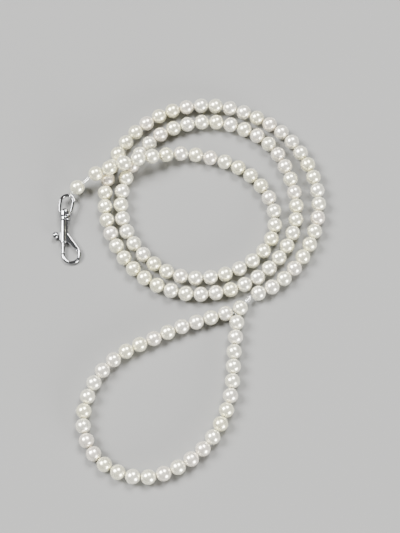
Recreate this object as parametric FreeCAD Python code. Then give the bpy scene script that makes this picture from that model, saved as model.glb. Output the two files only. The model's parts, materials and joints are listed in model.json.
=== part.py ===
import FreeCAD, Part
import math
import os

# Pearl bead strap: pearls on coated steel cable, with a swivel snap hook at one end and a
# beaded hand loop at the other. It lies coiled on a flat surface at z = 0.
# Millimetres. +Z is up, and +Y points from the hand loop to the far side of the coil.

Vector = FreeCAD.Vector
UP = Vector(0, 0, 1)

# ---------------------------------------------------------------- pearls and wire

pearl_diameter = 10.0
pearl_hole_diameter = 1.6
wide_hole_diameter = 2.2       # end pearl and junction pearl, which hold two wires
hole_chamfer = 0.2
close_pitch = 10.037          # straight distance between two neighbouring pearls' centres
loose_pitch = 10.27            # the same, near the hook, where the string is slack
loose_count = 20
turn_counts = {"inner": 33, "middle": 39, "outer": 29}
handle_pearl_count = 33
handle_pitch = 10.08
first_pearl_distance = 5.0     # from a strap wire's end to its first pearl's centre
handle_first_distance = 6.2

wire_diameter = 0.7
wire_radius = wire_diameter / 2
pair_offset = 0.37             # from the middle of two wires side by side to each wire
joint_gap = 0.05               # between a wire's flat end and the ball end that it meets

# ---------------------------------------------------------------- crimps

crimp_length = 4.7
crimp_gap = 0.45               # bare wire between the bend and the crimp
crimp_to_pearl = 0.45          # bare wire between the crimp and the pearl after it
crimp_bore_clearance = 0.02
return_inset = 0.9             # the returning wire ends this far inside the crimp
mouth_gap = 0.2                # from the junction pearl's mouth to the hand loop's hinge line
loop_root_depth = 0.4          # how far inside the end pearl the wire loop starts to open
hook_crimp_width = 2.3
hook_crimp_thickness = 2.0
handle_crimp_width = 3.0
handle_crimp_thickness = 2.1
crimp_dent_radius = 0.9
crimp_dent_depth = 0.22
crimp_dent_rows = 3

# ---------------------------------------------------------------- snap hook
# Its own axes: x to the right, y along the swivel axis towards the eye, z out of its plane,
# with y = 0 in the gap between the eye's base and the body's collar.

hook_place = (-83.5, 54.0, 4.2)
hook_heading = -3.0            # about Z, degrees
hook_tilt = 5.1                # rises towards the eye: it rests on the eye's base and the bow

eye_base_radius = 4.2
eye_base_bottom = 0.2
eye_base_top = 3.6
eye_outer_radius = 5.3
eye_inner_radius = 3.4
eye_centre_y = 11.0
eye_outer_foot = 4.2           # half widths where the limbs meet the base
eye_inner_foot = 2.9
eye_thickness = 2.2
eye_edge_radius = 0.55
eye_foot_depth = 1.0           # how far the limbs run into the base
eye_lean = 9.5                 # the loop leans to the right on its base, degrees
eye_grip_angle = 20.0          # where the wire loop holds the eye, from its top, degrees
hook_end_direction = (-0.82, -0.54, -0.21)      # of the crimp and end pearl, from the strap
eye_loop_outline = [(0.0, 2.0), (2.1, 1.0), (2.1, -1.0), (0.0, -2.0)]

pin_radius = 1.2
pin_clearance = 0.05
pin_head_radius = 2.5
pin_head_height = 2.4
pin_foot_y = -2.4

collar_radius = 3.8
collar_top = -0.2
collar_bottom = -2.7
barrel_radius = 1.9
barrel_bottom = -18.3
rim_radius = 2.3
rim_height = 1.1
rib_right = 2.4
rib_thickness = 2.0
bore_x = -1.0
bore_radius = 1.2
bore_top = -3.2

bolt_radius = 1.15
bolt_bottom = -25.9
bolt_top = -11.6
bolt_travel = 5.5
knob_y = -13.1
knob_x = -6.3
knob_radius = 2.6
knob_half_length = 2.0
knob_rounding = 1.85
stem_radius = 0.8
spigot_radius = 0.55
slot_clearance = 0.1
boss_proud = 0.4
boss_top = -11.3
boss_bottom = -16.4
boss_half_width = 1.45

bow_centre = (4.5, -26.8)
bow_radius = 5.5               # to the middle of its bar
bow_bar_radius = 1.25
bow_start_angle = 36.0         # from the hook's +x, where the bar leaves the arm
tip_top = -26.0
tip_radius = 1.4
arm_thickness = 2.2
arm_top = -12.2
arm_bottom = -18.6
pocket_depth = 0.65

spring_wire_radius = 0.14
spring_radius = 0.85
spring_turns = 7
spring_clearance = 0.2

# ---------------------------------------------------------------- routes

strap_route = [
    (-65.3, 79.6, 9.8), (-57.0, 82.5, 14.4), (-47.0, 84.0, 15.2), (-37.0, 87.5, 15.2),
    (-27.5, 90.0, 13.6), (-17.0, 92.5, 8.8), (-7.0, 94.5, 6.2), (3.0, 94.5, 5.0),
    (13.0, 91.5, 5.0), (25.5, 87.5, 5.0), (38.5, 80.5, 5.0), (51.0, 67.5, 5.0),
    (59.5, 47.0, 5.0), (55.0, 25.5, 5.0), (40.5, 12.0, 5.0), (22.0, 4.0, 5.0),
    (1.0, 2.5, 5.0), (-17.5, 8.5, 5.0), (-32.5, 22.0, 5.0), (-43.0, 39.0, 5.0),
    (-46.5, 59.5, 5.0), (-42.0, 79.0, 5.0), (-31.5, 96.5, 5.0), (-16.5, 111.0, 5.0),
    (3.0, 117.0, 5.0), (23.5, 117.5, 5.0), (42.5, 110.0, 5.0), (59.0, 98.0, 5.0),
    (68.0, 80.5, 5.0), (73.0, 61.0, 5.0), (73.0, 41.0, 5.0), (65.5, 22.0, 5.0),
    (52.0, 6.5, 5.0), (35.0, -4.0, 5.0), (15.0, -8.5, 5.0), (-5.0, -8.0, 5.0),
    (-24.5, -0.5, 5.0), (-39.5, 12.0, 5.0), (-50.5, 30.0, 5.0), (-56.0, 49.0, 5.0),
    (-56.5, 69.0, 5.0), (-51.0, 88.5, 5.0), (-40.5, 106.0, 5.0), (-25.5, 119.5, 5.0),
    (-7.0, 128.0, 5.0), (13.5, 130.5, 5.0), (33.5, 127.0, 5.0), (51.5, 118.0, 5.0),
    (68.0, 106.0, 5.0), (79.5, 89.5, 5.0), (87.0, 70.5, 5.0), (89.0, 50.0, 5.0),
    (84.0, 30.5, 5.0), (74.5, 12.5, 5.0), (60.5, -2.0, 5.0), (48.0, -8.8, 5.0),
    (37.8, -11.6, 5.0),
]

handle_route = [
    (26.18, -22.88, 5.0), (19.3, -21.7, 5.0), (8.9, -25.8, 5.0), (-9.5, -29.4, 5.0),
    (-28.0, -37.0, 5.0), (-47.2, -43.6, 5.0), (-64.0, -56.0, 5.0), (-74.2, -73.3, 5.0),
    (-78.5, -92.7, 5.0), (-72.8, -112.5, 5.0), (-57.0, -126.5, 5.0), (-37.0, -131.5, 5.0),
    (-17.0, -125.5, 5.0), (-0.2, -114.8, 5.0), (12.3, -98.6, 5.0), (20.2, -79.7, 5.0),
    (22.8, -59.7, 5.0), (24.8, -41.0, 5.0), (28.0, -30.5, 5.0), (26.72, -23.42, 5.0),
]


# ---------------------------------------------------------------- geometry helpers

def rounded_path(points, name):
    """Straight runs joined by tangent arcs, each as large as its two runs allow."""
    corners = [Vector(*point) for point in points]
    edges = []
    radii = []
    start = corners[0]
    for before, corner, after in zip(corners, corners[1:], corners[2:]):
        back = (before - corner).normalize()
        ahead = (after - corner).normalize()
        half_turn = (math.pi - back.getAngle(ahead)) / 2
        trim = 0.45 * min((before - corner).Length, (after - corner).Length)
        radius = trim / math.tan(half_turn)
        radii.append(radius)
        inward = (back + ahead).normalize()
        to_corner = radius / math.cos(half_turn)
        arc_start = corner + back * trim
        arc_end = corner + ahead * trim
        arc_middle = corner + inward * (to_corner - radius)
        edges.append(Part.LineSegment(start, arc_start).toShape())
        edges.append(Part.Arc(arc_start, arc_middle, arc_end).toShape())
        start = arc_end
    edges.append(Part.LineSegment(start, corners[-1]).toShape())
    path = Part.Wire(edges)
    print(name, "length", round(path.Length, 1), "radii", [round(radius, 1) for radius in radii])
    return path


def tube(path, diameter, name):
    """A round bar along the path."""
    first_edge = path.Edges[0]
    start = first_edge.valueAt(first_edge.FirstParameter)
    direction = first_edge.tangentAt(first_edge.FirstParameter)
    section = Part.Wire(Part.Circle(start, direction, diameter / 2).toShape())
    bar = path.makePipeShell([section], True, False)
    expected = math.pi * diameter ** 2 / 4 * path.Length
    print(name, "volume over section times length", round(bar.Volume / expected, 4))
    return bar


def straight_wire(start, end):
    return Part.makeCylinder(wire_radius, (end - start).Length, start, end - start)


def slot_prism(half_spacing, radius, length):
    """A prism of stadium section along +Z, its long way along X."""
    left = Vector(-half_spacing, 0, 0)
    right = Vector(half_spacing, 0, 0)
    side = Vector(0, radius, 0)
    outward = Vector(radius, 0, 0)
    outline = Part.Wire([
        Part.LineSegment(left - side, right - side).toShape(),
        Part.Arc(right - side, right + outward, right + side).toShape(),
        Part.LineSegment(right + side, left + side).toShape(),
        Part.Arc(left + side, left - outward, left - side).toShape(),
    ])
    return Part.Face(outline).extrude(Vector(0, 0, length))


def axes_placement(origin, x_axis, z_axis):
    """Puts a shape's own X and Z along the two directions, which are square to each other."""
    rotation = FreeCAD.Rotation(x_axis, z_axis.cross(x_axis), z_axis, "ZXY")
    return FreeCAD.Placement(origin, rotation)


def placed(shape, placement):
    copy = shape.copy()
    copy.Placement = placement.multiply(copy.Placement)
    return copy


def save(shape, node):
    shape.exportStep("parts/" + node + ".step")
    solids = shape.Solids
    valid = all(solid.isValid() for solid in solids)
    print(node, "solids", len(solids), "volume", round(shape.Volume, 1), "valid", valid)


# ---------------------------------------------------------------- pearls

def drilled_pearl(hole_diameter):
    """A pearl about the origin, drilled along Z, with its hole's two rims eased."""
    radius = pearl_diameter / 2
    hole = hole_diameter / 2
    rim = hole + hole_chamfer
    rim_height = math.sqrt(radius ** 2 - rim ** 2)
    hole_height = rim_height - hole_chamfer
    top_rim = Vector(rim, 0, rim_height)
    top_hole = Vector(hole, 0, hole_height)
    bottom_rim = Vector(rim, 0, -rim_height)
    bottom_hole = Vector(hole, 0, -hole_height)
    outline = Part.Wire([
        Part.Arc(bottom_rim, Vector(radius, 0, 0), top_rim).toShape(),
        Part.LineSegment(top_rim, top_hole).toShape(),
        Part.LineSegment(top_hole, bottom_hole).toShape(),
        Part.LineSegment(bottom_hole, bottom_rim).toShape(),
    ])
    return Part.Face(outline).revolve(Vector(0, 0, 0), UP, 360)


def thread_pearls(path, first_distance, pitches):
    """Centre and hole direction of each pearl strung on the path.

    Each pearl lies along the chord of the wire inside it, so that the bent wire clears the
    hole's middle on one side and its two mouths on the other.
    """
    step = 0.1
    samples = path.discretize(Distance=step)
    step = path.Length / (len(samples) - 1)
    reach = 0.47 * pearl_diameter

    def on_path(position):
        place = min(max(position, 0), path.Length * 0.99999) / step
        index = int(place)
        return samples[index] + (samples[index + 1] - samples[index]) * (place - index)

    def seat(position):
        low = on_path(position - reach)
        high = on_path(position + reach)
        centre = on_path(position) * 0.5 + (low + high) * 0.25
        return centre, (high - low).normalize()

    position = first_distance
    seats = [seat(position)]
    for pitch in pitches:
        position += pitch
        for correction in range(4):
            position += pitch - seat(position)[0].distanceToPoint(seats[-1][0])
        seats.append(seat(position))
    print("last pearl's centre to the wire's end", round(path.Length - position, 2))
    return seats


def pearl_group(seats, pearl):
    copies = [placed(pearl, FreeCAD.Placement(centre, FreeCAD.Rotation(UP, along)))
              for centre, along in seats]
    return Part.makeCompound(copies)


# ---------------------------------------------------------------- crimps

def crimp(width, thickness):
    """A pressed tube about Z from z = 0: rounded ends, a slot for two wires, and dents."""
    half_spacing = (width - thickness) / 2
    radius = thickness / 2
    body = slot_prism(half_spacing, radius, crimp_length)
    nose = width / 2
    rounded = Part.makeCylinder(nose, 2 * width, Vector(0, width, nose), Vector(0, -1, 0))
    far_nose = Part.makeCylinder(nose, 2 * width, Vector(0, width, crimp_length - nose), Vector(0, -1, 0))
    middle = Part.makeBox(width, 4 * width, crimp_length - width, Vector(-nose, -2 * width, nose))
    body = body.common(rounded.fuse([far_nose, middle]).removeSplitter())
    bore_radius_here = wire_radius + crimp_bore_clearance
    body = body.cut(slot_prism(pair_offset, bore_radius_here, crimp_length))
    row_spacing = (crimp_length - width * 0.7) / crimp_dent_rows
    for row in range(crimp_dent_rows):
        height = crimp_length / 2 + (row - (crimp_dent_rows - 1) / 2) * row_spacing
        for side in (-1, 1):
            dent_centre = side * (radius - crimp_dent_depth + crimp_dent_radius)
            body = body.cut(Part.makeSphere(crimp_dent_radius, Vector(0, dent_centre, height)))
    return body


# ---------------------------------------------------------------- snap hook pieces

def limb_arc(start_x, start_y, end_x, end_y):
    """An arc that leaves its start along -y and drifts to the end."""
    drift = abs(start_x) - abs(end_x)
    drop = start_y - end_y
    radius = (drift ** 2 + drop ** 2) / (2 * drift)
    middle_x = abs(start_x) - radius + math.sqrt(radius ** 2 - (drop / 2) ** 2)
    middle = Vector(math.copysign(middle_x, start_x), start_y - drop / 2, 0)
    return Part.Arc(Vector(start_x, start_y, 0), middle, Vector(end_x, end_y, 0)).toShape()


def eye_outline(radius, foot, foot_y):
    """A round top on two limbs that draw in to the foot's half width."""
    top = Part.Arc(
        Vector(radius, eye_centre_y, 0),
        Vector(0, eye_centre_y + radius, 0),
        Vector(-radius, eye_centre_y, 0),
    ).toShape()
    right = limb_arc(radius, eye_centre_y, foot, foot_y)
    left = limb_arc(-radius, eye_centre_y, -foot, foot_y)
    floor = Part.LineSegment(Vector(-foot, foot_y, 0), Vector(foot, foot_y, 0)).toShape()
    return Part.Face(Part.Wire([right, top, left, floor]))


def along_swivel(radius, low, high, x=0.0):
    return Part.makeCylinder(radius, high - low, Vector(x, low, 0), Vector(0, 1, 0))


def swivel_eye():
    foot_y = eye_base_top - eye_foot_depth
    ring = eye_outline(eye_outer_radius, eye_outer_foot, foot_y)
    ring = ring.cut(eye_outline(eye_inner_radius, eye_inner_foot, foot_y))
    ring = ring.extrude(Vector(0, 0, eye_thickness))
    ring.translate(Vector(0, 0, -eye_thickness / 2))
    long_edges = [edge for edge in ring.Edges if abs(edge.BoundBox.ZLength) < 1e-6
                  and edge.BoundBox.YMax > foot_y + 0.1]
    ring = ring.makeFillet(eye_edge_radius, long_edges)
    ring.rotate(Vector(0, foot_y, 0), UP, -eye_lean)
    base = along_swivel(eye_base_radius, eye_base_bottom, eye_base_top)
    base = base.makeFillet(0.6, [edge for edge in base.Edges if edge.BoundBox.YLength < 1e-6])
    bore = along_swivel(pin_radius + pin_clearance, eye_base_bottom - 1, eye_base_top + 1)
    return ring.fuse(base).cut(bore).removeSplitter()


def swivel_pin():
    shank = along_swivel(pin_radius, pin_foot_y, eye_base_top + 0.1)
    head_low = eye_base_top + pin_clearance
    dome_radius = (pin_head_radius ** 2 + pin_head_height ** 2) / (2 * pin_head_height)
    dome = Part.makeSphere(dome_radius, Vector(0, head_low + pin_head_height - dome_radius, 0))
    head = along_swivel(pin_head_radius, head_low, head_low + pin_head_height).common(dome)
    return shank.fuse(head).removeSplitter()


def polygon_plate(corners, thickness):
    points = [Vector(x, y, -thickness / 2) for x, y in corners]
    points.append(points[0])
    return Part.Face(Part.makePolygon(points)).extrude(Vector(0, 0, thickness))


def on_bow(degrees, outward=0.0):
    """A point beside the middle line of the bow's bar, by its angle from the hook's +x."""
    angle = math.radians(degrees)
    direction = Vector(math.cos(angle), math.sin(angle), 0)
    return Vector(bow_centre[0], bow_centre[1], 0) + direction * (bow_radius + outward)


def bow_bar():
    """The bow's round bar, from the arm round to the tip."""
    arc = Part.Arc(on_bow(bow_start_angle), on_bow(-76), on_bow(-180)).toShape()
    start = arc.valueAt(arc.FirstParameter)
    tangent = arc.tangentAt(arc.FirstParameter)
    section = Part.Wire(Part.Circle(start, tangent, bow_bar_radius).toShape())
    return Part.Wire([arc]).makePipeShell([section], True, False)


def hook_body():
    collar = along_swivel(collar_radius, collar_bottom, collar_top)
    collar = collar.makeFillet(0.7, [edge for edge in collar.Edges if edge.BoundBox.YLength < 1e-6])
    barrel = along_swivel(barrel_radius, barrel_bottom, collar_bottom + 0.3, bore_x)
    rim = along_swivel(rim_radius, barrel_bottom, barrel_bottom + rim_height, bore_x)
    rim = rim.makeFillet(0.35, [edge for edge in rim.Edges if edge.BoundBox.YLength < 1e-6])
    rib = Part.makeBox(rib_right - bore_x, collar_bottom + 0.3 - arm_bottom, rib_thickness,
                       Vector(bore_x, arm_bottom, -rib_thickness / 2))
    rib_edges = [edge for edge in rib.Edges if edge.BoundBox.XMin > rib_right - 1e-6
                 and edge.BoundBox.YLength > 1]
    rib = rib.makeFillet(0.6, rib_edges)
    boss = Part.makeBox(barrel_radius + boss_proud, boss_top - boss_bottom, 2 * boss_half_width,
                        Vector(bore_x - barrel_radius - boss_proud, boss_bottom, -boss_half_width))
    boss = boss.makeFillet(0.4, [edge for edge in boss.Edges
                                 if edge.BoundBox.XMax < bore_x - barrel_radius])
    arm_end = [on_bow(bow_start_angle, side * bow_bar_radius) for side in (1, -1)]
    arm = polygon_plate([(0.6, arm_top), (rib_right, arm_top)] + [(end.x, end.y) for end in arm_end]
                        + [(6.4, -22.3), (4.4, -20.2), (2.3, arm_bottom), (0.6, arm_bottom)],
                        arm_thickness)
    arm = arm.makeFillet(0.6, [edge for edge in arm.Edges if edge.BoundBox.ZLength < 1e-6
                               and edge.BoundBox.XMax > rib_right + 0.1])
    pocket_outline = [(3.3, -16.4), (8.4, -23.0), (7.9, -23.0), (6.9, -21.9), (4.9, -19.8), (3.2, -18.4)]
    tip_foot = Vector(bow_centre[0] - bow_radius, bow_centre[1], 0)
    tip = Part.makeCone(bow_bar_radius, tip_radius, tip_top - bow_centre[1], tip_foot, Vector(0, 1, 0))
    body = collar.fuse([barrel, rim, rib, boss, arm, bow_bar(), tip]).removeSplitter()
    for side in (-1, 1):
        pocket = polygon_plate(pocket_outline, 2 * pocket_depth)
        pocket.translate(Vector(0, 0, side * arm_thickness / 2))
        body = body.cut(pocket)
    bore = along_swivel(bore_radius, arm_bottom - 1, bore_top, bore_x)
    pin_hole = along_swivel(pin_radius + 0.01, pin_foot_y - 0.02, collar_top + 1)
    slot_radius = stem_radius + slot_clearance
    slot_low = Vector(bore_x, knob_y, 0)
    slot_high = Vector(bore_x, knob_y + bolt_travel, 0)
    slot_ends = [Part.makeCylinder(slot_radius, 6, end, Vector(-1, 0, 0)) for end in (slot_low, slot_high)]
    slot_middle = Part.makeBox(6, bolt_travel, 2 * slot_radius,
                               Vector(bore_x - 6, knob_y, -slot_radius))
    return body.cut([bore, pin_hole, slot_middle] + slot_ends).removeSplitter()


def bolt_rod():
    rod = along_swivel(bolt_radius, bolt_bottom, bolt_top, bore_x)
    rod = rod.makeFillet(0.4, [edge for edge in rod.Edges if edge.BoundBox.YLength < 1e-6])
    socket = Part.makeCylinder(spigot_radius + 0.02, 4, Vector(bore_x, knob_y, 0), Vector(-1, 0, 0))
    return rod.cut(socket)


def thumb_knob():
    """A rounded knob on a stem, with a spigot that is pressed into the bolt."""
    outward = Vector(-1, 0, 0)
    rod_surface = bore_x - bolt_radius - 0.02
    spigot = Part.makeCylinder(spigot_radius, 1.1, Vector(rod_surface + 1.0, knob_y, 0), outward)
    stem = Part.makeCylinder(stem_radius, rod_surface - knob_x, Vector(rod_surface, knob_y, 0), outward)
    head = Part.makeCylinder(knob_radius, 2 * knob_half_length,
                             Vector(knob_x + knob_half_length, knob_y, 0), outward)
    head = head.makeFillet(knob_rounding, [edge for edge in head.Edges if edge.BoundBox.XLength < 1e-6])
    return spigot.fuse([stem, head]).removeSplitter()


def bolt_spring():
    length = bore_top - bolt_top - 2 * spring_clearance - 2 * spring_wire_radius
    helix = Part.makeHelix(length / spring_turns, length, spring_radius)
    circle = Part.Circle(Vector(spring_radius, 0, 0), Vector(0, 1, 0), spring_wire_radius)
    section = Part.Wire(circle.toShape())
    spring = Part.Wire(helix.Edges).makePipeShell([section], True, True)
    spring.rotate(Vector(0, 0, 0), Vector(1, 0, 0), -90)
    spring.translate(Vector(bore_x, bolt_top + spring_clearance + spring_wire_radius, 0))
    return spring


# ---------------------------------------------------------------- assembly

os.makedirs("parts", exist_ok=True)

pearl = drilled_pearl(pearl_hole_diameter)
wide_pearl = drilled_pearl(wide_hole_diameter)
bend_gap = wire_radius + joint_gap     # from a bend's centre to the flat end of the next wire

# The strap: its wire and three turns of pearls.
strap_path = rounded_path(strap_route, "strap wire")
save(tube(strap_path, wire_diameter, "strap wire"), "strap_wire")
strap_count = sum(turn_counts.values())
strap_pitches = [loose_pitch if index < loose_count else close_pitch
                 for index in range(strap_count - 1)]
strap_seats = thread_pearls(strap_path, first_pearl_distance, strap_pitches)
used = 0
for turn, count in turn_counts.items():
    save(pearl_group(strap_seats[used:used + count], pearl), turn + "_turn_pearls")
    used += count

# The hand loop: its wire and its pearls, each a piece of its own.
handle_path = rounded_path(handle_route, "handle wire")
handle_start = Vector(*handle_route[0])
handle_end = Vector(*handle_route[-1])
handle_wire = tube(handle_path, wire_diameter, "handle wire")
handle_ends = [Part.makeSphere(wire_radius, point) for point in (handle_start, handle_end)]
save(handle_wire.fuse(handle_ends).removeSplitter(), "handle_wire")
handle_pitches = [handle_pitch] * (handle_pearl_count - 1)
handle_seats = thread_pearls(handle_path, handle_first_distance, handle_pitches)
for number, handle_seat in enumerate(handle_seats, start=1):
    save(pearl_group([handle_seat], pearl), "handle_pearl_{:02d}".format(number))

# The junction: a crimp and a single pearl on a straight pair of wires.
handle_mouth = (handle_start + handle_end) * 0.5
lift_axis = (handle_start - handle_end).normalize()
junction_along = UP.cross(lift_axis).normalize()
pearl_radius = pearl_diameter / 2
bend_to_pearl = crimp_gap + crimp_length + crimp_to_pearl + pearl_radius
junction_centre = handle_mouth - junction_along * (pearl_radius + mouth_gap)
junction_line = junction_centre - junction_along * bend_to_pearl
junction_bend = junction_line + lift_axis * pair_offset
wire_stop = handle_mouth - junction_along * bend_gap
main_wire = straight_wire(junction_bend, wire_stop + lift_axis * pair_offset)
main_wire = main_wire.fuse(Part.makeSphere(wire_radius, junction_bend)).removeSplitter()
return_wire = straight_wire(
    junction_line + junction_along * (crimp_gap + return_inset) - lift_axis * pair_offset,
    wire_stop - lift_axis * pair_offset)
save(Part.makeCompound([main_wire, return_wire]), "junction_wire")
junction_crimp = crimp(handle_crimp_width, handle_crimp_thickness)
save(placed(junction_crimp, axes_placement(junction_line + junction_along * crimp_gap,
                                           lift_axis, junction_along)), "handle_crimp")
save(pearl_group([(junction_centre, junction_along)], wide_pearl), "junction_pearl")

# The hook end: a crimp and a single pearl on a doubled wire that loops through the eye.
strap_start = Vector(*strap_route[0])
hook_end_bend = strap_start - (Vector(*strap_route[1]) - strap_start).normalize() * bend_gap
hook_end_along = Vector(*hook_end_direction).normalize()
hook_end_upward = (UP - hook_end_along * hook_end_along.dot(UP)).normalize()
hook_end_line = hook_end_bend - hook_end_upward * pair_offset
end_pearl_centre = hook_end_line + hook_end_along * bend_to_pearl
hook_turn = FreeCAD.Rotation(UP, hook_heading).multiply(FreeCAD.Rotation(Vector(1, 0, 0), hook_tilt))
hook_frame = FreeCAD.Placement(Vector(*hook_place), hook_turn)
eye_foot = Vector(0, eye_base_top - eye_foot_depth, 0)
eye_middle = eye_foot + FreeCAD.Rotation(UP, -eye_lean).multVec(Vector(0, eye_centre_y, 0) - eye_foot)
grip_radius = (eye_outer_radius + eye_inner_radius) / 2
grip_from_middle = FreeCAD.Rotation(UP, -eye_lean - eye_grip_angle).multVec(Vector(0, grip_radius, 0))
eye_grip = hook_frame.multVec(eye_middle + grip_from_middle)
loop_root = end_pearl_centre + hook_end_along * (pearl_radius - loop_root_depth)
to_grip = (eye_grip - loop_root).normalize()
loop_upward = (UP - to_grip * to_grip.dot(UP)).normalize()
loop_corners = [eye_grip + to_grip * ahead + loop_upward * above for ahead, above in eye_loop_outline]
hook_end_points = ([hook_end_bend, loop_root + hook_end_upward * pair_offset] + loop_corners
                   + [loop_root - hook_end_upward * pair_offset,
                      hook_end_line + hook_end_along * (crimp_gap + return_inset)
                      - hook_end_upward * pair_offset])
hook_end_wire = tube(rounded_path(hook_end_points, "hook end wire"), wire_diameter, "hook end wire")
hook_end_ball = Part.makeSphere(wire_radius, hook_end_bend)
save(hook_end_wire.fuse(hook_end_ball).removeSplitter(), "hook_end_wire")
hook_crimp = crimp(hook_crimp_width, hook_crimp_thickness)
save(placed(hook_crimp, axes_placement(hook_end_line + hook_end_along * crimp_gap,
                                       hook_end_upward, hook_end_along)), "hook_crimp")
save(pearl_group([(end_pearl_centre, hook_end_along)], wide_pearl), "end_pearl")

# The snap hook.
hook_pieces = {
    "swivel_eye": swivel_eye(),
    "swivel_pin": swivel_pin(),
    "hook_body": hook_body(),
    "bolt_rod": bolt_rod(),
    "thumb_knob": thumb_knob(),
    "bolt_spring": bolt_spring(),
}
for node, piece in hook_pieces.items():
    save(placed(piece, hook_frame), node)

# Joint centres and axes, for whoever sets up the motion.
joint_places = {
    "hook_end_swing": (hook_end_bend, UP),
    "end_pearl_spin": (end_pearl_centre, hook_end_along),
    "eye_swing": (eye_grip, UP),
    "hook_swivel": (hook_frame.Base, hook_turn.multVec(Vector(0, 1, 0))),
    "bolt_slide": (hook_frame.multVec(Vector(bore_x, 0, 0)), hook_turn.multVec(Vector(0, 1, 0))),
    "handle_swing": (junction_bend, UP),
    "junction_pearl_spin": (junction_centre, junction_along),
    "handle_lift": (handle_mouth, lift_axis),
}
for joint, (centre, axis) in joint_places.items():
    print(joint, [round(value, 4) for value in centre], [round(value, 6) for value in axis])
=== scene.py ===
import json
import math
import random

import bpy
import numpy as np
from mathutils import Matrix, Quaternion, Vector
from mathutils.kdtree import KDTree


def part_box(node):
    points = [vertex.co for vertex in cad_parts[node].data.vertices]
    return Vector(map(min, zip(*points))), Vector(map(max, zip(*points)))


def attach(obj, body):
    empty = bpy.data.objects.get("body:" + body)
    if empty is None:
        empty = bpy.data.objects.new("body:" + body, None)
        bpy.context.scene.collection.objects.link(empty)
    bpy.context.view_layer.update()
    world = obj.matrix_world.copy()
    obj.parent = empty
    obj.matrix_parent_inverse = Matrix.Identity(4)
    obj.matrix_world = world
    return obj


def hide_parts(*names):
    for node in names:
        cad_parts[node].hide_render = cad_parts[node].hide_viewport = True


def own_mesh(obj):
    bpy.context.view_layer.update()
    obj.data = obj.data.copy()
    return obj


# Looks of the pearl bead strap: nacre pearls threaded on steel cable, silver crimps, and a
# polished swivel snap hook. Metres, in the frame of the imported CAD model.

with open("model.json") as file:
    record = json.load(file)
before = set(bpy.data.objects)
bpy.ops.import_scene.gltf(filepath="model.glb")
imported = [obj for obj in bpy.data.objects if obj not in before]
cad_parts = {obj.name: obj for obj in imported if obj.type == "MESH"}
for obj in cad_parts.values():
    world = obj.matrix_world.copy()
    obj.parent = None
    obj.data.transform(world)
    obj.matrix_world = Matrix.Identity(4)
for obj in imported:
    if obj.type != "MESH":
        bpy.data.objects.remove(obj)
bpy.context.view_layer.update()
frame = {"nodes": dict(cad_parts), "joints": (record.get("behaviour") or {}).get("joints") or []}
nodes = frame["nodes"]

# ---------------------------------------------------------------- sizes of pearls and wires

MM = 0.001


def node_centre(node):
    low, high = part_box(node)
    return (low + high) / 2


def node_size(node):
    low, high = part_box(node)
    return high - low


PEARL_RADIUS = node_size("junction_pearl").z / 2
HOLE_RADIUS = 0.8 * MM
WIDE_HOLE_RADIUS = 1.1 * MM         # end pearl and junction pearl, which hold two wires
HOLE_CHAMFER = 0.2 * MM
WIRE_DIAMETER = 0.7 * MM
PEARL_SIDES = 40
PEARL_RINGS = 22
ROUND_FACE_SHARE = 0.9              # of a pearl's diameter, which its round face exceeds
SEAT_REACH_SHARE = 0.94             # of a pearl's radius, from its centre to where its hole is aimed
LEFT_SIDE_COUNT = 17                # pearls on the hand loop's left side

STRAP_TURNS = ("inner_turn_pearls", "middle_turn_pearls", "outer_turn_pearls")
HANDLE_PEARLS = sorted(name for name in nodes if name.startswith("handle_pearl_"))

# ---------------------------------------------------------------- routes of the two wires

STRAP_ROUTE = [
    (-0.0653, 0.0796, 0.0098), (-0.0570, 0.0825, 0.0144), (-0.0470, 0.0840, 0.0152),
    (-0.0370, 0.0875, 0.0152), (-0.0275, 0.0900, 0.0136), (-0.0170, 0.0925, 0.0088),
    (-0.0070, 0.0945, 0.0062), (0.0030, 0.0945, 0.0050), (0.0130, 0.0915, 0.0050),
    (0.0255, 0.0875, 0.0050), (0.0385, 0.0805, 0.0050), (0.0510, 0.0675, 0.0050),
    (0.0595, 0.0470, 0.0050), (0.0550, 0.0255, 0.0050), (0.0405, 0.0120, 0.0050),
    (0.0220, 0.0040, 0.0050), (0.0010, 0.0025, 0.0050), (-0.0175, 0.0085, 0.0050),
    (-0.0325, 0.0220, 0.0050), (-0.0430, 0.0390, 0.0050), (-0.0465, 0.0595, 0.0050),
    (-0.0420, 0.0790, 0.0050), (-0.0315, 0.0965, 0.0050), (-0.0165, 0.1110, 0.0050),
    (0.0030, 0.1170, 0.0050), (0.0235, 0.1175, 0.0050), (0.0425, 0.1100, 0.0050),
    (0.0590, 0.0980, 0.0050), (0.0680, 0.0805, 0.0050), (0.0730, 0.0610, 0.0050),
    (0.0730, 0.0410, 0.0050), (0.0655, 0.0220, 0.0050), (0.0520, 0.0065, 0.0050),
    (0.0350, -0.0040, 0.0050), (0.0150, -0.0085, 0.0050), (-0.0050, -0.0080, 0.0050),
    (-0.0245, -0.0005, 0.0050), (-0.0395, 0.0120, 0.0050), (-0.0505, 0.0300, 0.0050),
    (-0.0560, 0.0490, 0.0050), (-0.0565, 0.0690, 0.0050), (-0.0510, 0.0885, 0.0050),
    (-0.0405, 0.1060, 0.0050), (-0.0255, 0.1195, 0.0050), (-0.0070, 0.1280, 0.0050),
    (0.0135, 0.1305, 0.0050), (0.0335, 0.1270, 0.0050), (0.0515, 0.1180, 0.0050),
    (0.0680, 0.1060, 0.0050), (0.0795, 0.0895, 0.0050), (0.0870, 0.0705, 0.0050),
    (0.0890, 0.0500, 0.0050), (0.0840, 0.0305, 0.0050), (0.0745, 0.0125, 0.0050),
    (0.0605, -0.0020, 0.0050), (0.0480, -0.0088, 0.0050), (0.0378, -0.0116, 0.0050),
]

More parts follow.
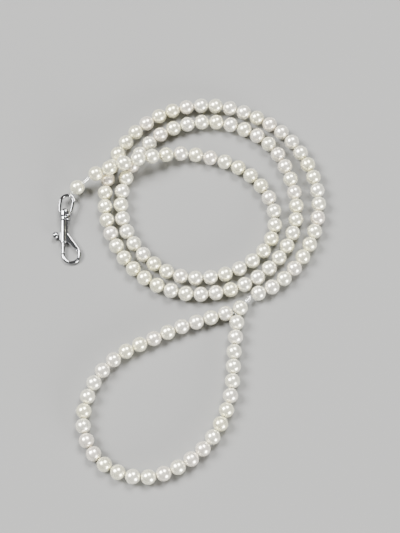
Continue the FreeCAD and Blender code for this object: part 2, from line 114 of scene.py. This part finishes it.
HANDLE_ROUTE = [
    (0.02618, -0.02288, 0.0050), (0.0193, -0.0217, 0.0050), (0.0089, -0.0258, 0.0050),
    (-0.0095, -0.0294, 0.0050), (-0.0280, -0.0370, 0.0050), (-0.0472, -0.0436, 0.0050),
    (-0.0640, -0.0560, 0.0050), (-0.0742, -0.0733, 0.0050), (-0.0785, -0.0927, 0.0050),
    (-0.0728, -0.1125, 0.0050), (-0.0570, -0.1265, 0.0050), (-0.0370, -0.1315, 0.0050),
    (-0.0170, -0.1255, 0.0050), (-0.0002, -0.1148, 0.0050), (0.0123, -0.0986, 0.0050),
    (0.0202, -0.0797, 0.0050), (0.0228, -0.0597, 0.0050), (0.0248, -0.0410, 0.0050),
    (0.0280, -0.0305, 0.0050), (0.02672, -0.02342, 0.0050),
]


# ---------------------------------------------------------------- material helpers

class Nodes:
    """A material's node tree, with one call per node."""

    def __init__(self, name):
        self.material = bpy.data.materials.new(name)
        self.material.use_nodes = True
        self.tree = self.material.node_tree
        self.shader = self.tree.nodes["Principled BSDF"]

    def add(self, kind, links=None, **settings):
        node = self.tree.nodes.new(kind)
        for key, value in settings.items():
            if hasattr(node, key):
                setattr(node, key, value)
            else:
                node.inputs[key.replace("_", " ")].default_value = value
        for socket, source in (links or {}).items():
            self.tree.links.new(source, node.inputs[socket])
        return node

    def set(self, **values):
        for socket, value in values.items():
            self.shader.inputs[socket.replace("_", " ")].default_value = value

    def link(self, socket, source):
        self.tree.links.new(source, self.shader.inputs[socket])

    def ramp(self, source, stops):
        node = self.add("ShaderNodeValToRGB", {"Fac": source})
        elements = node.color_ramp.elements
        while len(elements) < len(stops):
            elements.new(0.5)
        for element, (place, colour) in zip(elements, stops):
            element.position = place
            element.color = (*colour, 1)
        return node.outputs["Color"]

    def noise(self, scale, detail=2.0):
        coordinates = self.add("ShaderNodeTexCoord")
        node = self.add("ShaderNodeTexNoise", {"Vector": coordinates.outputs["Object"]},
                        Scale=scale, Detail=detail)
        return node.outputs["Fac"]

    def bump(self, source, distance):
        node = self.add("ShaderNodeBump", {"Height": source}, Distance=distance)
        self.link("Normal", node.outputs["Normal"])


def grey(value):
    return (value, value, value)


# ---------------------------------------------------------------- materials

def pearl_material():
    """Cream lacquer over nacre: a tint for each pearl, cloudy patches, and a clear gloss coat."""
    made = Nodes("pearl_nacre")
    tint = made.add("ShaderNodeAttribute", attribute_name="tint").outputs["Fac"]
    body = made.ramp(tint, [(0.0, (0.94, 0.90, 0.64)), (0.35, (0.96, 0.93, 0.72)),
                            (0.7, (0.95, 0.92, 0.79)), (1.0, (0.96, 0.87, 0.75))])
    cloud = made.noise(240, detail=3.0)
    shade = made.ramp(cloud, [(0.35, grey(0.93)), (0.65, grey(1.0))])
    mixed = made.add("ShaderNodeMix", data_type="RGBA", blend_type="MULTIPLY")
    mixed.inputs["Factor"].default_value = 1.0
    made.tree.links.new(body, mixed.inputs["A"])
    made.tree.links.new(shade, mixed.inputs["B"])
    made.link("Base Color", mixed.outputs["Result"])
    made.set(Metallic=0.68, Coat_Weight=1.0, Coat_Roughness=0.15, Coat_IOR=1.6,
             Sheen_Weight=0.7, Sheen_Roughness=0.3, Sheen_Tint=(0.98, 0.97, 0.80, 1))
    patches = made.noise(420, detail=2.0)
    sheen = made.ramp(patches, [(0.3, grey(0.23)), (0.7, grey(0.32))])
    made.link("Roughness", sheen)
    made.bump(made.noise(350, detail=2.0), 0.015 * MM)
    return made.material


def cable_material():
    """Fine strands of bright steel under a clear coat."""
    made = Nodes("steel_cable")
    strands = made.noise(3200, detail=1.0)
    made.link("Base Color", made.ramp(strands, [(0.3, grey(0.42)), (0.7, (0.80, 0.80, 0.79))]))
    made.set(Metallic=1.0, Roughness=0.32, Coat_Weight=0.5, Coat_Roughness=0.1)
    made.bump(strands, 0.05 * MM)
    return made.material


def crimp_material():
    """Silver plate, pressed and speckled."""
    made = Nodes("silver_crimp")
    speckle = made.noise(1500, detail=2.0)
    made.link("Base Color", made.ramp(speckle, [(0.35, grey(0.55)), (0.6, (0.86, 0.86, 0.85))]))
    made.link("Roughness", made.ramp(speckle, [(0.3, grey(0.38)), (0.7, grey(0.22))]))
    made.set(Metallic=1.0)
    made.bump(speckle, 0.06 * MM)
    return made.material


def hook_material():
    """Polished nickel plate on a casting, with faint waves and rubbed patches."""
    made = Nodes("polished_nickel")
    waves = made.noise(260, detail=2.0)
    made.link("Base Color", made.ramp(waves, [(0.3, (0.42, 0.42, 0.43)),
                                              (0.7, (0.54, 0.54, 0.55))]))
    rubbed = made.noise(900, detail=3.0)
    made.link("Roughness", made.ramp(rubbed, [(0.35, grey(0.07)), (0.7, grey(0.12))]))
    made.set(Metallic=1.0)
    made.bump(waves, 0.012 * MM)
    return made.material


# ---------------------------------------------------------------- wires

def wire(name, route):
    """A round wire along one smooth spline with the route's points as its control points."""
    curve = bpy.data.curves.new(name, "CURVE")
    curve.dimensions = "3D"
    curve.resolution_u = 12
    spline = curve.splines.new("NURBS")
    spline.points.add(len(route) - 1)
    for point, place in zip(spline.points, route):
        point.co = (*place, 1)
    spline.order_u = 3
    spline.use_endpoint_u = True
    piece = bpy.data.objects.new(name, curve)
    bpy.context.scene.collection.objects.link(piece)
    return piece


def spline_line(piece):
    """Points along the wire's spline, with the distance of each from its start."""
    mesh = bpy.data.meshes.new_from_object(piece)
    points = np.array([vertex.co for vertex in mesh.vertices], float)
    bpy.data.meshes.remove(mesh)
    steps = np.linalg.norm(np.diff(points, axis=0), axis=1)
    return points, np.concatenate([[0.0], np.cumsum(steps)])


def give_thickness(piece, material):
    piece.data.bevel_depth = WIRE_DIAMETER / 2
    piece.data.bevel_resolution = 3
    piece.data.use_fill_caps = True
    piece.data.materials.append(material)


# ---------------------------------------------------------------- pearls

def pearl_centres(node):
    """Centres of a CAD node's pearls. Each pearl's round face is its only patch that is nearly
    as wide as the pearl on every side."""
    mesh = nodes[node].data
    neighbours = [[] for vertex in mesh.vertices]
    for edge in mesh.edges:
        first, second = edge.vertices
        neighbours[first].append(second)
        neighbours[second].append(first)
    places = np.array([vertex.co for vertex in mesh.vertices], float)
    unseen = set(range(len(places)))
    centres = []
    while unseen:
        patch = [unseen.pop()]
        for index in patch:
            fresh = [other for other in neighbours[index] if other in unseen]
            unseen.difference_update(fresh)
            patch.extend(fresh)
        low = places[patch].min(0)
        high = places[patch].max(0)
        if min(high - low) > ROUND_FACE_SHARE * 2 * PEARL_RADIUS:
            centres.append((low + high) / 2)
    return centres


def threaded_seats(centres, line):
    """Where each pearl sits on the wire's spline: its centre and the direction of its hole."""
    points, along = line
    tree = KDTree(len(points))
    for index, point in enumerate(points):
        tree.insert(point, index)
    tree.balance()
    reach = SEAT_REACH_SHARE * PEARL_RADIUS

    def on_line(distance):
        return np.array([np.interp(distance, along, points[:, axis]) for axis in range(3)])

    seats = []
    for centre in centres:
        start = along[tree.find(centre)[1]]
        near = np.linspace(start - PEARL_RADIUS / 4, start + PEARL_RADIUS / 4, 41)
        gaps = [np.linalg.norm(on_line(distance) - centre) for distance in near]
        here = near[int(np.argmin(gaps))]
        low = on_line(here - reach)
        high = on_line(here + reach)
        middle = on_line(here) / 2 + (low + high) / 4
        seats.append((here, Vector(middle), Vector(high - low).normalized()))
    seats.sort(key=lambda seat: seat[0])
    return [(middle, direction) for here, middle, direction in seats]


def drilled_sphere(hole_radius):
    """Vertices and faces of a pearl about the origin, drilled along Z, with eased rims."""
    rim = hole_radius + HOLE_CHAMFER
    rim_angle = math.asin(rim / PEARL_RADIUS)
    outline = []
    for ring in range(PEARL_RINGS + 1):
        angle = rim_angle + (math.pi - 2 * rim_angle) * ring / PEARL_RINGS
        outline.append((PEARL_RADIUS * math.sin(angle), PEARL_RADIUS * math.cos(angle)))
    mouth_height = outline[0][1] - HOLE_CHAMFER
    outline += [(hole_radius, -mouth_height), (hole_radius, mouth_height)]
    vertices = []
    for radius, height in outline:
        for side in range(PEARL_SIDES):
            turn = 2 * math.pi * side / PEARL_SIDES
            vertices.append((radius * math.cos(turn), radius * math.sin(turn), height))
    faces = []
    for row in range(len(outline)):
        below = (row + 1) % len(outline)
        for side in range(PEARL_SIDES):
            beside = (side + 1) % PEARL_SIDES
            faces.append((row * PEARL_SIDES + side, below * PEARL_SIDES + side,
                          below * PEARL_SIDES + beside, row * PEARL_SIDES + beside))
    return np.array(vertices), np.array(faces)


def pearl_piece(name, seats, hole_radius, material, draw):
    """One mesh of pearls, each turned at random about its hole and with a tint of its own."""
    vertices, faces = drilled_sphere(hole_radius)
    all_vertices = []
    all_faces = []
    tints = []
    for number, (centre, direction) in enumerate(seats):
        turn = Vector((0, 0, 1)).rotation_difference(direction)
        spin = Quaternion((0, 0, 1), draw.uniform(0, 2 * math.pi))
        place = np.array((turn @ spin).to_matrix())
        all_vertices.append(vertices @ place.T + np.array(centre))
        all_faces.append(faces + number * len(vertices))
        tints += [draw.random()] * len(vertices)
    mesh = bpy.data.meshes.new(name)
    mesh.from_pydata(np.concatenate(all_vertices).tolist(), [], np.concatenate(all_faces).tolist())
    mesh.polygons.foreach_set("use_smooth", [True] * len(mesh.polygons))
    mesh.attributes.new("tint", "FLOAT", "POINT").data.foreach_set("value", tints)
    mesh.materials.append(material)
    piece = bpy.data.objects.new(name, mesh)
    bpy.context.scene.collection.objects.link(piece)
    return piece


# ---------------------------------------------------------------- build the strap and hand loop

draw = random.Random(7)
pearl_look = pearl_material()
cable_look = cable_material()

strap_wire = wire("strap_cable", STRAP_ROUTE)
strap_line = spline_line(strap_wire)
give_thickness(strap_wire, cable_look)
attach(strap_wire, "strap")
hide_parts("strap_wire")
for turn in STRAP_TURNS:
    seats = threaded_seats(pearl_centres(turn), strap_line)
    piece = pearl_piece(turn.replace("_pearls", "_nacre"), seats, HOLE_RADIUS, pearl_look, draw)
    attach(piece, "strap")
    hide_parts(turn)

handle_wire = wire("handle_cable", HANDLE_ROUTE)
handle_line = spline_line(handle_wire)
give_thickness(handle_wire, cable_look)
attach(handle_wire, "handle")
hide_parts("handle_wire")
HANDLE_SIDES = {
    "handle_left_nacre": HANDLE_PEARLS[:LEFT_SIDE_COUNT],
    "handle_right_nacre": HANDLE_PEARLS[LEFT_SIDE_COUNT:],
}
for name, covered in HANDLE_SIDES.items():
    seats = threaded_seats([node_centre(node) for node in covered], handle_line)
    piece = pearl_piece(name, seats, HOLE_RADIUS, pearl_look, draw)
    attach(piece, "handle")
    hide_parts(*covered)

# The two single pearls, whose holes lie along their spin joints' axes.
for node in ("end_pearl", "junction_pearl"):
    joint = next(joint for joint in frame["joints"] if joint["child"] == node)
    seat = (Vector(joint["pos_m"]), Vector(joint["axis"]).normalized())
    piece = pearl_piece(node + "_nacre", [seat], WIDE_HOLE_RADIUS, pearl_look, draw)
    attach(piece, node)
    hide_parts(node)

# ---------------------------------------------------------------- bolt spring

SPRING_TURNS = 7
SPRING_RADIUS = 0.85 * MM
SPRING_WIRE_RADIUS = 0.14 * MM
SPRING_REST_LENGTH = 7.72 * MM
STEPS_PER_TURN = 24
WIRE_SIDES = 8


def bolt_spring(axis):
    """A coil of round wire along the axis, centred where the CAD spring is."""
    turned = Vector((0, 0, 1)).rotation_difference(axis).to_matrix()
    centre = node_centre("bolt_spring")
    steps = SPRING_TURNS * STEPS_PER_TURN
    vertices = []
    for step in range(steps + 1):
        turn = 2 * math.pi * step / STEPS_PER_TURN
        height = SPRING_REST_LENGTH * (step / steps - 0.5)
        for side in range(WIRE_SIDES):
            around = 2 * math.pi * side / WIRE_SIDES
            radius = SPRING_RADIUS + SPRING_WIRE_RADIUS * math.cos(around)
            rise = SPRING_WIRE_RADIUS * math.sin(around)
            place = Vector((radius * math.cos(turn), radius * math.sin(turn), height + rise))
            vertices.append(turned @ place + centre)
    faces = []
    for step in range(steps):
        for side in range(WIRE_SIDES):
            beside = (side + 1) % WIRE_SIDES
            faces.append((step * WIRE_SIDES + side, step * WIRE_SIDES + beside,
                          (step + 1) * WIRE_SIDES + beside, (step + 1) * WIRE_SIDES + side))
    faces.append(tuple(reversed(range(WIRE_SIDES))))
    faces.append(tuple(range(steps * WIRE_SIDES, (steps + 1) * WIRE_SIDES)))
    mesh = bpy.data.meshes.new("bolt_spring_coil")
    mesh.from_pydata(vertices, [], faces)
    mesh.polygons.foreach_set("use_smooth", [True] * len(mesh.polygons))
    piece = bpy.data.objects.new("bolt_spring_coil", mesh)
    bpy.context.scene.collection.objects.link(piece)
    return piece


slide = next(joint for joint in frame["joints"] if joint["name"] == "bolt_slide")
slide_axis = Vector(slide["axis"]).normalized()
spring = bolt_spring(slide_axis)
spring.data.materials.append(cable_look)
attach(spring, "hook_body")
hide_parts("bolt_spring")
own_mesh(spring)

# ---------------------------------------------------------------- materials of the CAD pieces

crimp_look = crimp_material()
hook_look = hook_material()
LOOK_OF_NODE = {
    "hook_end_wire": cable_look,
    "junction_wire": cable_look,
    "hook_crimp": crimp_look,
    "handle_crimp": crimp_look,
    "swivel_eye": hook_look,
    "swivel_pin": hook_look,
    "hook_body": hook_look,
    "bolt_rod": hook_look,
    "thumb_knob": hook_look,
}
for node, look in LOOK_OF_NODE.items():
    nodes[node].data.materials.clear()
    nodes[node].data.materials.append(look)

# ---------------------------------------------------------------- floor, lights and camera

STAGE_CENTRE = Vector((0.0053, 0.0134, 0))
FLOOR_REACH = 10.0
WORLD_COLOUR = (0.80, 0.80, 0.80, 1)
WORLD_STRENGTH = 0.20

floor_corners = [(x * FLOOR_REACH, y * FLOOR_REACH, 0) for x, y in ((-1, -1), (1, -1), (1, 1), (-1, 1))]
floor_mesh = bpy.data.meshes.new("floor")
floor_mesh.from_pydata(floor_corners, [], [(0, 1, 2, 3)])
floor = bpy.data.objects.new("floor", floor_mesh)
bpy.context.scene.collection.objects.link(floor)
floor_look = Nodes("pale_floor")
floor_look.set(Base_Color=(0.22, 0.22, 0.215, 1), Roughness=0.85, Specular_IOR_Level=0.05)
floor_mesh.materials.append(floor_look.material)

world = bpy.data.worlds.new("studio")
world.use_nodes = True
background = world.node_tree.nodes["Background"]
background.inputs["Color"].default_value = WORLD_COLOUR
background.inputs["Strength"].default_value = WORLD_STRENGTH
bpy.context.scene.world = world


def soft_lamp(name, direction, degrees_across, strength):
    """A far, wide lamp in the given direction, which lights all of the floor alike."""
    lamp = bpy.data.lights.new(name, "SUN")
    lamp.angle = math.radians(degrees_across)
    lamp.energy = strength
    lamp_object = bpy.data.objects.new(name, lamp)
    toward = Vector(direction).normalized()
    lamp_object.location = STAGE_CENTRE + toward
    lamp_object.rotation_mode = "QUATERNION"
    lamp_object.rotation_quaternion = toward.to_track_quat("Z", "Y")
    bpy.context.scene.collection.objects.link(lamp_object)


soft_lamp("lamp_left", (-0.63, 0.20, 0.75), 29.7, 8.7)
soft_lamp("lamp_back", (0.27, 0.45, 0.85), 24.7, 5.7)
soft_lamp("lamp_front_right", (0.63, -0.75, 0.20), 26.4, 6.7)

CAMERA_ELEVATION = math.radians(69.45)
CAMERA_ROLL = math.radians(-3.78)
CAMERA_DISTANCE = 1.246
CAMERA_LENS = 125.5                 # millimetres, as the sensor's width is
CAMERA_SENSOR = 36
CAMERA_CLIP_END = 20

forward = Vector((0, math.cos(CAMERA_ELEVATION), -math.sin(CAMERA_ELEVATION)))
level_right = Vector((1, 0, 0))
level_up = level_right.cross(forward)
right = level_right * math.cos(CAMERA_ROLL) + level_up * math.sin(CAMERA_ROLL)
up = level_up * math.cos(CAMERA_ROLL) - level_right * math.sin(CAMERA_ROLL)
camera = bpy.data.objects.new("camera", bpy.data.cameras.new("camera"))
camera.data.lens = CAMERA_LENS
camera.data.sensor_width = CAMERA_SENSOR
camera.data.clip_end = CAMERA_CLIP_END
camera_turn = Matrix((right, up, -forward)).transposed().to_4x4()
camera_place = Matrix.Translation(STAGE_CENTRE - forward * CAMERA_DISTANCE)
camera.matrix_world = camera_place @ camera_turn
bpy.context.scene.collection.objects.link(camera)
bpy.context.scene.camera = camera
